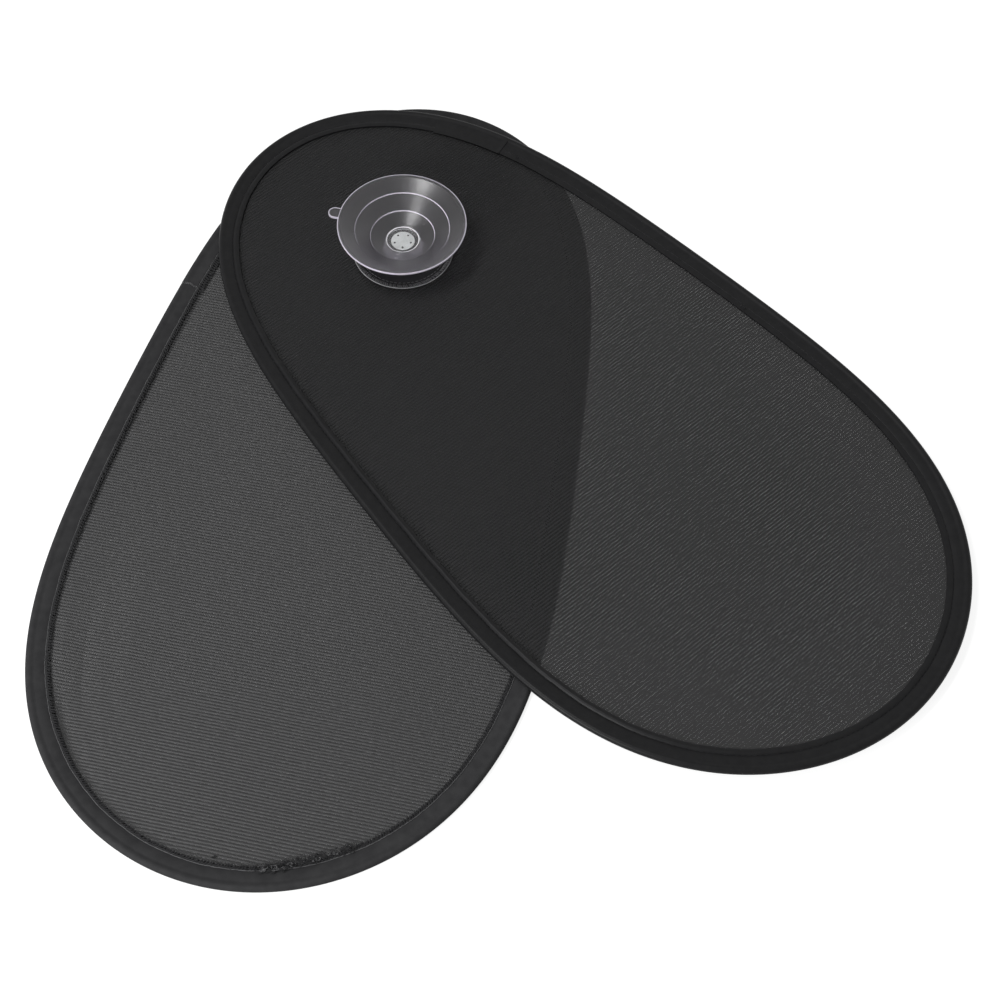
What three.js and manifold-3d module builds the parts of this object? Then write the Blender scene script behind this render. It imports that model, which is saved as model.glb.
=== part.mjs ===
// Car side window sunshade: two egg-shaped see-through panels that fan out about one suction cup.
// Each panel is knitted mesh inside a folded edge tape, held open by a spring steel hoop.
// The two panels are the same part; the rear one is turned face down.
// Lengths are in millimetres and angles in degrees. The part lies flat with the cup's mouth up.
import * as THREE from 'three';
import { mergeGeometries, mergeVertices } from 'three/addons/utils/BufferGeometryUtils.js';
import Module from 'manifold-3d';

const wasm = await Module();
wasm.setup();

// Panel outline
const panelLength = 418.6;
const panelWidth = 218.3;
const narrowReach = 93.7;
// Cosine terms that turn an ellipse into the egg: bias to the wide end, fullness and two small trims
const eggTerms = [-0.1014, 0.1089, 0.0167, -0.0152];
const fanAngle = 53.2;
const outlineSteps = 44;

// Clearances
const seatGap = 0.3;
const layerGap = 0.3;

// Spring steel hoop and the edge tape folded round it
const wireDiameter = 1.8;
const wireSides = 6;
const tapeThickness = 0.6;
const faceLegWidth = 10.7;
const backLegWidth = 9.4;
const hemWidth = 1.9;
const hemRise = 0.25;
const hemShoulder = 0.475;
const grooveWidth = 0.6;
const grooveDepth = 0.3;
const overlockWidth = 2.4;
const overlockRise = 0.2;
const bulbRamp = 2.2;

// Knitted mesh, smooth on its face side and ribbed on its back; one rib here gathers three rows of the knit
const ribPitch = 4.6;
const ribThickness = 0.6;
const webThickness = 0.3;
const gapWidth = 1.1;
const meshTuck = 5.4;
const gapMargin = 2.2;

// Round patch sewn over the pivot
const patchRadius = 23.2;
const patchThickness = 0.4;
const patchBeadHeight = 1;
const patchBeadWidth = 1.6;
// Share of the bead that its rounded shoulder takes
const patchBeadShoulder = 0.3;

// Rivet through both panels
const shankRadius = 3;
const headRadius = 5.6;
const headThickness = 1.5;
const headChamfer = 0.375;
const headHoleCount = 5;
const headHoleRadius = 0.45;
const headHoleCircle = 4;
const headHoleDepth = 1;
const headHoleStart = -104.25;
const capRadius = 8.5;
const capThickness = 0.4;
const pegRadius = 1.3;
const pegLength = 3.2;
const washerRadius = 9.3;
const topWasherThickness = 0.9;

// Suction cup
const cupRadius = 30;
const cupDepth = 11.6;
const cupStepRadii = [15, 22];
const cupStepDepths = [8.4, 3.8];
const cupStepRise = 0.35;
const cupFloorRadius = 7.6;
const cupFloorThickness = 0.9;
const rimLand = 1.7;
const rimThickness = 0.9;
const cupWall = 1.7;
const neckTopRadius = 8.5;
const neckFootRadius = 9.3;
const lipHeight = 2.7;
const tabWidth = 6;
const tabReach = 5;
const tabThickness = 0.9;
const tabAngle = 154;

// Finish of each material
const knitBlack = { color: 0x17171a, roughness: 0.85, metalness: 0 };
const tapeBlack = { color: 0x1c1c1e, roughness: 0.8, metalness: 0 };
const springSteel = { color: 0x8a8c90, roughness: 0.35, metalness: 1 };
const clearPlastic = { color: 0xe6e4ea, roughness: 0.08, metalness: 0, transparent: true, opacity: 0.35 };
const paleNylon = { color: 0xc9cdcb, roughness: 0.45, metalness: 0 };

// Heights worked out from the stack of layers
const wireRadius = wireDiameter / 2;
const channelRadius = wireRadius + seatGap;
const bulbRadius = channelRadius + tapeThickness;
const slotHalfHeight = ribThickness / 2 + seatGap;
const legHeight = slotHalfHeight + tapeThickness;
const rearPlane = bulbRadius;
const frontPlane = rearPlane + 2 * bulbRadius + layerGap;
const patchBase = ribThickness / 2 + seatGap;
const capTop = rearPlane - patchBase - patchThickness - seatGap;
const topWasherBase = frontPlane + patchBase + patchThickness + seatGap;
const neckFoot = topWasherBase + topWasherThickness + seatGap;
const headBase = neckFoot + lipHeight + seatGap;
const headTop = headBase + headThickness;
const cupFloor = headTop + seatGap + cupFloorThickness;
const rimTop = cupFloor + cupDepth;
const pivotHoleRadius = shankRadius + seatGap;

// Fineness of the round forms
const ringSegments = 32;
const cupSegments = 40;
const washerSegments = 24;
const holeSegments = 10;
const tabSegments = 10;
const bulbSegments = 6;
const outlineTrials = 400;
const directionStep = 1e-3;
const weldDistance = 1e-4;
// Half height of what cuts through the mesh
const cutHalfHeight = 2 * ribThickness;

function solidMesh(name, geometry, finish) {
  const mesh = new THREE.Mesh(geometry, new THREE.MeshStandardMaterial(finish));
  mesh.name = name;
  return mesh;
}

// Exact solids for cutting and joining
function toSolid(geometry) {
  const bare = geometry.clone();
  bare.deleteAttribute('normal');
  bare.deleteAttribute('uv');
  const merged = mergeVertices(bare, weldDistance);
  return new wasm.Manifold(new wasm.Mesh({
    numProp: 3,
    vertProperties: new Float32Array(merged.attributes.position.array),
    triVerts: new Uint32Array(merged.index.array),
  }));
}

function fromSolid(solid) {
  const result = solid.getMesh();
  const geometry = new THREE.BufferGeometry();
  geometry.setAttribute('position', new THREE.BufferAttribute(result.vertProperties, 3));
  geometry.setIndex(new THREE.BufferAttribute(result.triVerts, 1));
  geometry.computeVertexNormals();
  return geometry;
}

// Half width of the egg at a turn round it, before it is scaled to the panel's width
function eggHalfWidth(turn) {
  return eggTerms.reduce((sum, term, k) => sum + term * Math.cos((k + 1) * turn), 1) * Math.sin(turn);
}

const trialWidths = Array.from({ length: outlineTrials }, (_, i) => eggHalfWidth(Math.PI * i / outlineTrials));
const eggScale = panelWidth / 2 / Math.max(...trialWidths);

// Point of the panel's edge, from the narrow tip at turn 0 to the wide tip at half a turn
function edgePoint(turn) {
  const along = panelLength * (1 - Math.cos(turn)) / 2 - narrowReach;
  return new THREE.Vector2(along, eggScale * eggHalfWidth(turn));
}

// The same point moved into the panel, square to the edge
function insetPoint(turn, inset) {
  const tangent = edgePoint(turn + directionStep).sub(edgePoint(turn - directionStep)).normalize();
  const inward = new THREE.Vector2(tangent.y, -tangent.x);
  return edgePoint(turn).addScaledVector(inward, inset);
}

// Closed sweep of a section round the panel's edge; section points are (inset, height)
function sweepRoundEdge(section) {
  const positions = [];
  const indices = [];
  const count = section.length;
  for (let i = 0; i < outlineSteps; i += 1) {
    const turn = 2 * Math.PI * i / outlineSteps;
    for (const [inset, height] of section) {
      const point = insetPoint(turn, inset);
      positions.push(point.x, point.y, height);
    }
    const here = i * count;
    const next = ((i + 1) % outlineSteps) * count;
    for (let j = 0; j < count; j += 1) {
      const k = (j + 1) % count;
      indices.push(here + j, next + k, next + j);
      indices.push(here + j, here + k, next + k);
    }
  }
  const geometry = new THREE.BufferGeometry();
  geometry.setAttribute('position', new THREE.Float32BufferAttribute(positions, 3));
  geometry.setIndex(indices);
  geometry.computeVertexNormals();
  return geometry;
}

// Arc of section points about (inset, 0), with angles counted from the inward direction
function sectionArc(inset, radius, fromDeg, toDeg, steps) {
  return Array.from({ length: steps + 1 }, (_, i) => {
    const angle = THREE.MathUtils.degToRad(fromDeg + (toDeg - fromDeg) * i / steps);
    return [inset + radius * Math.cos(angle), radius * Math.sin(angle)];
  });
}

// Tape folded over the hoop: a round bulb at the edge and two legs that hold the mesh between them
function bindingSection() {
  const legStart = bulbRadius + bulbRamp;
  const hemStart = faceLegWidth - hemWidth;
  const overlockStart = backLegWidth - overlockWidth;
  const slotStart = bulbRadius + Math.sqrt(channelRadius ** 2 - slotHalfHeight ** 2);
  const slotAngle = THREE.MathUtils.radToDeg(Math.asin(slotHalfHeight / channelRadius));
  const faceLeg = [
    [legStart, legHeight],
    [hemStart - grooveWidth, legHeight],
    [hemStart - grooveWidth / 2, legHeight - grooveDepth],
    [hemStart, legHeight + hemRise],
    [faceLegWidth - hemShoulder, legHeight + hemRise],
    [faceLegWidth, legHeight - hemRise],
    [faceLegWidth, slotHalfHeight],
  ];
  const backLeg = [
    [backLegWidth, -slotHalfHeight],
    [backLegWidth, -legHeight],
    [backLegWidth - overlockWidth / 2, -legHeight - overlockRise],
    [overlockStart, -legHeight],
    [legStart, -legHeight],
  ];
  const channel = sectionArc(bulbRadius, channelRadius, slotAngle, 360 - slotAngle, bulbSegments);
  channel[0][0] = slotStart;
  const outside = sectionArc(bulbRadius, bulbRadius, 90, 270, bulbSegments).reverse();
  return [...faceLeg, ...channel, ...backLeg, ...outside];
}

function wireSection() {
  return sectionArc(bulbRadius, wireRadius, 0, 360, wireSides).slice(0, wireSides).reverse();
}

// Flat prism with the panel's outline, for trimming the mesh
function panelPrism(inset, halfHeight) {
  const points = Array.from({ length: outlineSteps }, (_, i) => (
    insetPoint(2 * Math.PI * i / outlineSteps, inset)));
  const prism = new THREE.ExtrudeGeometry(new THREE.Shape(points), { depth: 2 * halfHeight, bevelEnabled: false });
  return toSolid(prism.translate(0, 0, -halfHeight));
}

function disc(radius, halfHeight) {
  const geometry = new THREE.CylinderGeometry(radius, radius, 2 * halfHeight, ringSegments);
  return toSolid(geometry.rotateX(Math.PI / 2));
}

// Ribbed sheet: a zigzag profile extruded across the panel, with an open gap along each thin web
function meshGeometry() {
  const start = -narrowReach;
  const ribCount = Math.ceil(panelLength / ribPitch);
  const crest = ribThickness / 2;
  const web = crest - webThickness;
  const points = [new THREE.Vector2(start, web)];
  for (let i = 0; i < ribCount; i += 1) {
    points.push(new THREE.Vector2(start + (i + 0.5) * ribPitch, -crest));
    points.push(new THREE.Vector2(start + (i + 1) * ribPitch, web));
  }
  points.push(new THREE.Vector2(start + ribCount * ribPitch, crest), new THREE.Vector2(start, crest));
  const profile = new THREE.Shape(points);
  const sheet = new THREE.ExtrudeGeometry(profile, { depth: panelWidth, bevelEnabled: false });
  sheet.translate(0, 0, -panelWidth / 2).rotateX(Math.PI / 2);

  const cutters = [];
  for (let i = 1; i < ribCount; i += 1) {
    const cutter = new THREE.BoxGeometry(gapWidth, panelWidth, 2 * cutHalfHeight);
    cutters.push(cutter.translate(start + i * ribPitch, 0, 0));
  }
  const gaps = toSolid(mergeGeometries(cutters))
    .intersect(panelPrism(meshTuck + gapMargin, cutHalfHeight))
    .subtract(disc(patchRadius - gapMargin, cutHalfHeight));
  return fromSolid(toSolid(sheet)
    .intersect(panelPrism(meshTuck, cutHalfHeight))
    .subtract(gaps)
    .subtract(disc(pivotHoleRadius, cutHalfHeight)));
}

// Ring turned about the pivot from a closed profile of (radius, height) points
function turned(profile, segments) {
  const points = profile.map(([radius, height]) => new THREE.Vector2(radius, height));
  if (profile[0][0] > 0) points.push(points[0].clone());
  return new THREE.LatheGeometry(points, segments).rotateX(Math.PI / 2);
}

function washerGeometry(base, thickness) {
  return turned([
    [pivotHoleRadius, base],
    [washerRadius, base],
    [washerRadius, base + thickness],
    [pivotHoleRadius, base + thickness],
  ], washerSegments);
}

// Patch with the thick bead of its overlocked edge
function patchGeometry() {
  const base = patchBase;
  const beadStart = patchRadius - patchBeadWidth;
  const shoulderWidth = patchBeadWidth * patchBeadShoulder;
  const shoulderHeight = patchBeadHeight * patchBeadShoulder;
  return turned([
    [pivotHoleRadius, base],
    [patchRadius, base],
    [patchRadius, base + patchBeadHeight - shoulderHeight],
    [patchRadius - shoulderWidth, base + patchBeadHeight],
    [beadStart + shoulderWidth, base + patchBeadHeight],
    [beadStart, base + patchThickness],
    [pivotHoleRadius, base + patchThickness],
  ], ringSegments);
}

// Rivet: a round head with five small moulding holes on a hollow shank
function studGeometry() {
  const foot = capTop + seatGap;
  const boreRadius = pegRadius + seatGap;
  const boreTop = foot + pegLength + seatGap;
  const body = toSolid(turned([
    [0, boreTop],
    [boreRadius, boreTop],
    [boreRadius, foot],
    [shankRadius, foot],
    [shankRadius, headBase],
    [headRadius, headBase],
    [headRadius, headTop - headChamfer],
    [headRadius - headChamfer, headTop],
    [0, headTop],
  ], washerSegments));
  const holes = Array.from({ length: headHoleCount }, (_, i) => {
    const angle = THREE.MathUtils.degToRad(headHoleStart + 360 * i / headHoleCount);
    const hole = new THREE.CylinderGeometry(headHoleRadius, headHoleRadius, 2 * headHoleDepth, holeSegments);
    hole.rotateX(Math.PI / 2);
    return hole.translate(headHoleCircle * Math.cos(angle), headHoleCircle * Math.sin(angle), headTop);
  });
  return fromSolid(body.subtract(toSolid(mergeGeometries(holes))));
}

function capGeometry() {
  return turned([
    [0, capTop - capThickness],
    [capRadius - capThickness, capTop - capThickness],
    [capRadius, capTop],
    [pegRadius, capTop],
    [pegRadius, capTop + pegLength],
    [0, capTop + pegLength],
  ], washerSegments);
}

// Clear cup: a stepped cone that opens upwards, on a neck whose socket snaps over the rivet's head
function cupGeometry() {
  const [innerStep, outerStep] = cupStepRadii;
  const innerStepTop = rimTop - cupStepDepths[0];
  const outerStepTop = rimTop - cupStepDepths[1];
  const socketRadius = headRadius + seatGap;
  const lipTop = neckFoot + lipHeight;
  const socketTop = headTop + seatGap;
  const bowl = toSolid(turned([
    [0, cupFloor],
    [cupFloorRadius, cupFloor],
    [innerStep, innerStepTop - cupStepRise],
    [innerStep, innerStepTop],
    [outerStep, outerStepTop - cupStepRise],
    [outerStep, outerStepTop],
    [cupRadius - rimLand, rimTop],
    [cupRadius, rimTop],
    [cupRadius, rimTop - rimThickness],
    [outerStep, outerStepTop - cupStepRise - cupWall],
    [innerStep, innerStepTop - cupStepRise - cupWall],
    [neckTopRadius, cupFloor - cupWall],
    [neckFootRadius, neckFoot],
    [pivotHoleRadius, neckFoot],
    [pivotHoleRadius, lipTop],
    [socketRadius, lipTop],
    [socketRadius, socketTop],
    [0, socketTop],
  ].reverse(), cupSegments));

  const tabRadius = tabWidth / 2;
  const tabEnd = cupRadius + tabReach - tabRadius;
  const tabRoot = cupRadius - rimLand;
  const outline = new THREE.Shape();
  outline.moveTo(tabRoot, -tabRadius);
  outline.lineTo(tabEnd, -tabRadius);
  outline.absarc(tabEnd, 0, tabRadius, -Math.PI / 2, Math.PI / 2, false);
  outline.lineTo(tabRoot, tabRadius);
  const tabFinish = { depth: tabThickness, bevelEnabled: false, curveSegments: tabSegments };
  const tab = new THREE.ExtrudeGeometry(outline, tabFinish);
  tab.translate(0, 0, rimTop - tabThickness).rotateZ(THREE.MathUtils.degToRad(tabAngle));
  return fromSolid(bowl.add(toSolid(tab)));
}

// One panel in its own frame: pivot at the origin, +X towards the wide end, +Z its face side
function buildPanel(prefix) {
  const panel = new THREE.Group();
  panel.add(solidMesh(`${prefix}_mesh`, meshGeometry(), knitBlack));
  panel.add(solidMesh(`${prefix}_binding`, sweepRoundEdge(bindingSection()), tapeBlack));
  panel.add(solidMesh(`${prefix}_wire_hoop`, sweepRoundEdge(wireSection()), springSteel));
  panel.add(solidMesh(`${prefix}_patch`, patchGeometry(), tapeBlack));
  return panel;
}

function buildSunshade() {
  const halfFan = THREE.MathUtils.degToRad(fanAngle / 2);
  const shade = new THREE.Group();

  const rearPanel = buildPanel('rear');
  rearPanel.position.z = rearPlane;
  rearPanel.rotation.set(Math.PI, 0, -Math.PI / 2 - halfFan, 'ZYX');
  shade.add(rearPanel);

  const frontPanel = buildPanel('front');
  frontPanel.position.z = frontPlane;
  frontPanel.rotation.z = -Math.PI / 2 + halfFan;
  shade.add(frontPanel);

  const washerBase = rearPlane + ribThickness / 2 + seatGap;
  const washerTop = frontPlane - ribThickness / 2 - seatGap;
  shade.add(solidMesh('swivel_washer', washerGeometry(washerBase, washerTop - washerBase), paleNylon));
  shade.add(solidMesh('top_washer', washerGeometry(topWasherBase, topWasherThickness), clearPlastic));
  shade.add(solidMesh('rivet_cap', capGeometry(), paleNylon));
  shade.add(solidMesh('pivot_rivet', studGeometry(), paleNylon));
  shade.add(solidMesh('suction_cup', cupGeometry(), clearPlastic));
  return shade;
}

// The origin is the middle of the resting face of the part's bounding box
const sunshade = buildSunshade();
sunshade.updateMatrixWorld(true);
const bounds = new THREE.Box3().setFromObject(sunshade, true);
const middle = bounds.getCenter(new THREE.Vector3());
sunshade.position.set(-middle.x, -middle.y, -bounds.min.z);

export default sunshade;
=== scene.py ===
# Looks of the car window sunshade: knitted mesh, folded edge tape with its stitching, and the clear cup.
# Metres throughout; each panel is built in its own flat frame and then laid where the CAD panel lies.
import math

import bmesh
import bpy
import numpy as np
from mathutils import Matrix, Vector


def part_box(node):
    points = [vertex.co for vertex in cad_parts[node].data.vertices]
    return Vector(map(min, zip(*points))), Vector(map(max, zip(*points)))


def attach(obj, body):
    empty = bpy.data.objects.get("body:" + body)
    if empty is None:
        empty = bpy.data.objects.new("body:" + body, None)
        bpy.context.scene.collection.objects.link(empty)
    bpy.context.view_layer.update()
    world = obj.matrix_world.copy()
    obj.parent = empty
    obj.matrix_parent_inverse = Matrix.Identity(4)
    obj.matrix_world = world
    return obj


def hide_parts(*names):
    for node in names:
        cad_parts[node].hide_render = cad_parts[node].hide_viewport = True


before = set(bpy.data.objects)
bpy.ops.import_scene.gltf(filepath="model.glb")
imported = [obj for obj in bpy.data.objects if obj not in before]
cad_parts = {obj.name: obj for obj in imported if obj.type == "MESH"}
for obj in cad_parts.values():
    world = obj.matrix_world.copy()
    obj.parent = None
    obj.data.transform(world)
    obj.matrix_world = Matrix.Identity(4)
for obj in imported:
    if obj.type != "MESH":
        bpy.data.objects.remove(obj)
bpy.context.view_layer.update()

MM = 0.001
rng = np.random.default_rng(7)

# Panel outline, as the CAD draws it
PANEL_LENGTH = 418.6 * MM
PANEL_WIDTH = 218.3 * MM
NARROW_REACH = 93.7 * MM
EGG_TERMS = (-0.1014, 0.1089, 0.0167, -0.0152)
HALF_FAN = math.radians(53.2 / 2)

# Binding tape folded over the hoop
BULB_RADIUS = 1.8 * MM
CHANNEL_RADIUS = 1.2 * MM
BULB_RAMP = 2.2 * MM
SLOT_HALF = 0.6 * MM
LEG_HEIGHT = 1.2 * MM
BACK_LEG = 9.4 * MM
GROOVE_WIDTH = 0.7 * MM
GROOVE_DEPTH = 0.4 * MM
FULL_GROOVE_RISE = 0.25 * MM
HEM_WIDTH = 2.6 * MM
HEM_LEAN = 0.8
TAPE_STATIONS = 540
CHANNEL_STEPS = 8
BULB_STEPS = 16
# Where the face leg ends and how high its rolled hem stands, by turn round the panel in degrees
HEM_TURNS = (-180, -110, -75, -45, 0, 50, 90, 120, 180)
HEM_ENDS = tuple(end * MM for end in (10.7, 11.0, 10.2, 9.4, 10.4, 11.6, 11.3, 11.1, 10.7))
HEM_RISES = tuple(rise * MM for rise in (0.3, 0.6, 0.6, 0.5, 0.2, 0.05, 0.03, 0.12, 0.3))
# Unevenness of the sewn tape: height, waves round the panel and shift of each wave
PUCKER_WAVES = ((0.5, 41, 0), (0.3, 97, 1), (0.2, 173, 2))
PUCKER_ASIDE = 0.12 * MM
PUCKER_RISE = 0.05 * MM

# Joint of the tape's two ends
LAP_LENGTH = 38 * MM
LAP_THICKNESS = 0.4 * MM
LAP_SINK = 0.1 * MM
LAP_LIFT = 0.2 * MM
LAP_LIFT_LENGTH = 2 * MM
LAP_FADE = 14 * MM
FRONT_LAP_TURN = 49.5
REAR_LAP_TURN = 68.4
FACE_LAP_INSETS = (2.0 * MM, 12.1 * MM)
FACE_LAP_BASE = 0.08 * MM
BACK_LAP_START = 0.3 * MM
BACK_LAP_INSET = 8.1 * MM
RAGGED_REACH = 0.5 * MM
RAGGED_WAVE = 0.9 * MM
RAGGED_LENGTH = 4 * MM

# Knit: ribs across the panel on its back, wales along it on its face
RIB_PITCH = 1.47 * MM
RIB_TOP = 0.45 * MM
FRONT_SLIT = 0.007 * MM
REAR_SLIT = 0.012 * MM
RIB_CREST = 0.38 * MM
RIB_BELLY = 0.1 * MM
WALE_PITCH = 0.7 * MM
WALE_WIDTH = 0.2 * MM
WALE_CREST = 0.05 * MM
KNIT_TUCK = 6.4 * MM
PIVOT_HOLE = 3.3 * MM
RIB_STEPS = 22
WALE_STEPS = 36
# Small wander of the strands, with the length of its waves along a strand and from strand to strand
STRAND_WANDER = 0.06 * MM
RIB_WAVES = (9 * MM, 70 * MM)
WALE_WAVES = (13 * MM, 17 * MM)
# Gentle rise and fall of the stretched cloth
SWAY_HEIGHT = 0.12 * MM
SWAY_LENGTH = 31 * MM
SWAY_WIDTH = 38 * MM
SWAY_BEND = 47 * MM
SWAY_BENDING = 1.3
# Loose ripple in the rear cloth near its edge
RIPPLE_MIDDLE = (244 * MM, 84 * MM)
RIPPLE_REACH = (46 * MM, 22 * MM)
RIPPLE_LENGTH = 40 * MM
RIPPLE_HEIGHT = -0.7 * MM

# Stitching
THREAD = 0.16 * MM
OVERLOCK_PITCH = 1.35 * MM
OVERLOCK_START = 8.9 * MM
OVERLOCK_REACH = 1.5 * MM
OVERLOCK_UNEVEN = 0.14 * MM
OVERLOCK_SKEW = 0.1
OVERLOCK_SLANT = 0.8
OVERLOCK_BULGE = 0.15 * MM
OVERLOCK_ARCH = np.pi * np.array([0.05, 0.3, 0.55, 0.8, 1.1])
# The overlock is wider for a length just before the tape's joint
WIDE_OVERLOCK_REACH = 2.7 * MM
WIDE_OVERLOCK_LENGTH = 75 * MM
WIDE_OVERLOCK_START = 12 * MM
WIDE_OVERLOCK_END = 3 * MM
CHAIN_INSET = 8.5 * MM
CHAIN_UNEVEN = 0.03 * MM
CHAIN_STATIONS = np.array([-0.1, 0.3, 0.7, 1.1])
CHAIN_ZIGZAG = 0.05 * MM * np.array([1, -1, 1, -1])
# Shallow step of the tape's back under the chain: places beside the chain and the drop at each
STEP_PLACES = np.array([-0.45, -0.25, 0.1, 0.35]) * MM
STEP_DROPS = (0, 0.2 * MM, 0.2 * MM, 0)
BACK_END_DROP = 0.1 * MM
SEAM_PITCH = 2.6 * MM

# Loose thread: turns in degrees, then insets, number of curls, their radii and heights in millimetres
REAR_TANGLES = (
    ((-171, -166), (7.6, 10.8), 36, (0.6, 1.3), (-2.4, -1.5)),
    ((-167, -155), (8.6, 12.2), 80, (0.5, 1.2), (-2.0, -1.4)),
    ((-158, -146), (9.0, 10.8), 34, (0.3, 0.7), (-1.7, -1.3)),
    ((-179, -171), (8.8, 10.2), 20, (0.3, 0.6), (-1.5, -1.2)),
    ((-179.7, -178.9), (12.2, 13.0), 3, (0.5, 0.9), (-0.9, -0.6)),
)
FRONT_TANGLES = (
    ((92.9, 93.6), (9.2, 10.2), 6, (0.3, 0.7), (1.3, 1.6)),
    ((52.6, 53.0), (9.2, 9.8), 5, (0.3, 0.5), (1.3, 1.6)),
)
# Paler loose thread laid on the tangle as painted highlight
PAINTED_HIGHLIGHT_TANGLES = (
    ((-170.5, -166.5), (7.8, 10.2), 9, (0.5, 1.0), (-2.5, -2.2)),
    ((-166, -157), (9.2, 11.0), 10, (0.4, 0.8), (-2.1, -1.9)),
)
CURL_STATIONS = 10
CURL_SWEEP = 1.7 * np.pi
CURL_DRIFT = 0.6
CURL_LEANS = (0.4, 1.0)
CURL_RISE = 0.25 * MM

# Cut yarns at the rear joint
FRINGE_COUNT = 60
FRINGE_START = 0.5 * MM
FRINGE_REACHES = (0.2 * MM, 0.8 * MM)
FRINGE_SPREAD = 0.2 * MM

# Patch round the pivot
PATCH_RADIUS = 23.2 * MM
PATCH_THICKNESS = 0.4 * MM
PATCH_BASE = 0.6 * MM
PATCH_BEAD = 1.0 * MM
PATCH_BEAD_WIDTH = 1.6 * MM
PATCH_OVERLOCK_PITCH = 0.95 * MM
PATCH_OVERLOCK_SKEW = 0.008
PATCH_OVERLOCK_SLANT = 0.03
PATCH_OVERLOCK_ASIDE = 0.12 * MM
PATCH_OVERLOCK_RISE = 0.1 * MM
PATCH_CHAIN_ASIDE = 0.15 * MM
PATCH_CHAIN_HEIGHT = 0.55 * MM
PATCH_STITCH_INSET = 2.9 * MM
PATCH_STITCH_PITCH = 2.0 * MM


# Materials
YARN_COVER = 0.83


def material(name):
    made = bpy.data.materials.new(name)
    made.use_nodes = True
    tree = made.node_tree
    shader = tree.nodes["Principled BSDF"]
    return made, tree, shader


def noise(tree, scale, detail=2.0):
    place = tree.nodes.new("ShaderNodeTexCoord")
    texture = tree.nodes.new("ShaderNodeTexNoise")
    texture.inputs["Scale"].default_value = scale
    texture.inputs["Detail"].default_value = detail
    tree.links.new(place.outputs["Object"], texture.inputs["Vector"])
    return texture.outputs["Fac"]


def between(tree, factor, dark, light):
    ramp = tree.nodes.new("ShaderNodeValToRGB")
    ramp.color_ramp.elements[0].position = 0.3
    ramp.color_ramp.elements[0].color = (*dark, 1)
    ramp.color_ramp.elements[1].position = 0.7
    ramp.color_ramp.elements[1].color = (*light, 1)
    tree.links.new(factor, ramp.inputs["Fac"])
    return ramp.outputs["Color"]


def bump(tree, shader, height, strength, distance):
    node = tree.nodes.new("ShaderNodeBump")
    node.inputs["Strength"].default_value = strength
    node.inputs["Distance"].default_value = distance
    tree.links.new(height, node.inputs["Height"])
    tree.links.new(node.outputs["Normal"], shader.inputs["Normal"])


def fabric(name, dark, light, roughness, specular, sheen, grain, depth, cover=1.0):
    made, tree, shader = material(name)
    tree.links.new(between(tree, noise(tree, grain / 6), dark, light), shader.inputs["Base Color"])
    shader.inputs["Roughness"].default_value = roughness
    shader.inputs["Specular IOR Level"].default_value = specular
    shader.inputs["Sheen Weight"].default_value = sheen
    shader.inputs["Sheen Roughness"].default_value = 0.4
    shader.inputs["Alpha"].default_value = cover
    bump(tree, shader, noise(tree, grain, 3.0), 0.5, depth)
    return made


def clear_plastic(name, tint, roughness, specular=0.5):
    made, tree, shader = material(name)
    shade = between(tree, noise(tree, 60), tint, [channel * 0.985 for channel in tint])
    tree.links.new(shade, shader.inputs["Base Color"])
    shader.inputs["Roughness"].default_value = roughness
    shader.inputs["IOR"].default_value = 1.5
    shader.inputs["Specular IOR Level"].default_value = specular
    shader.inputs["Transmission Weight"].default_value = 1.0
    bump(tree, shader, noise(tree, 90), 0.05, 0.2 * MM)
    return made


def moulded(name, dark, light, roughness):
    made, tree, shader = material(name)
    tree.links.new(between(tree, noise(tree, 400), dark, light), shader.inputs["Base Color"])
    shader.inputs["Roughness"].default_value = roughness
    bump(tree, shader, noise(tree, 900), 0.1, 0.05 * MM)
    return made


def drawn_steel(name):
    made, tree, shader = material(name)
    shade = between(tree, noise(tree, 2500), (0.42, 0.42, 0.44), (0.55, 0.55, 0.57))
    tree.links.new(shade, shader.inputs["Base Color"])
    shader.inputs["Metallic"].default_value = 1.0
    shader.inputs["Roughness"].default_value = 0.35
    return made


def yarn(name, shade, roughness, specular):
    dark = (0.87 * shade, 0.87 * shade, 0.89 * shade)
    light = (1.13 * shade, 1.13 * shade, 1.16 * shade)
    return fabric(name, dark, light, roughness, specular, 0.0, 3000, 0.02 * MM, YARN_COVER)


def sewing_thread(name, dark, light, specular, sheen):
    return fabric(name, dark, light, 0.8, specular, sheen, 4000, 0.05 * MM)


# Lighter copies of the yarn for the ribs' flanks and darker copies for their ridges: painted light and
# painted shade that draw the knit's stripes
RIB_FLANK_PAINTED_LIGHT = yarn("knit_rib_flank_painted_light", 0.038, 0.5, 0.15)
RIB_RIDGE_PAINTED_SHADE = yarn("knit_rib_ridge_painted_shade", 0.012, 0.5, 0.15)
FACE_FLANK_PAINTED_LIGHT = yarn("knit_face_flank_painted_light", 0.030, 0.6, 0.1)
FACE_RIDGE_PAINTED_SHADE = yarn("knit_face_ridge_painted_shade", 0.005, 0.6, 0.1)
WALE = yarn("knit_wale", 0.02, 0.6, 0.1)
TAPE = fabric("tape_face_black", (0.006, 0.006, 0.0065), (0.009, 0.009, 0.0095),
              roughness=0.42, specular=0.12, sheen=0.0, grain=2200, depth=0.02 * MM)
TAPE_BACK = fabric("tape_back_black", (0.019, 0.019, 0.020), (0.027, 0.027, 0.028),
                   roughness=0.75, specular=0.15, sheen=0.0, grain=1500, depth=0.05 * MM)
EDGE_THREAD = sewing_thread("overlock_thread", (0.006, 0.006, 0.007), (0.014, 0.014, 0.015), 0.2, 0.1)
PALE_THREAD = sewing_thread("pale_thread", (0.26, 0.26, 0.265), (0.36, 0.36, 0.365), 0.3, 0.2)
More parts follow.
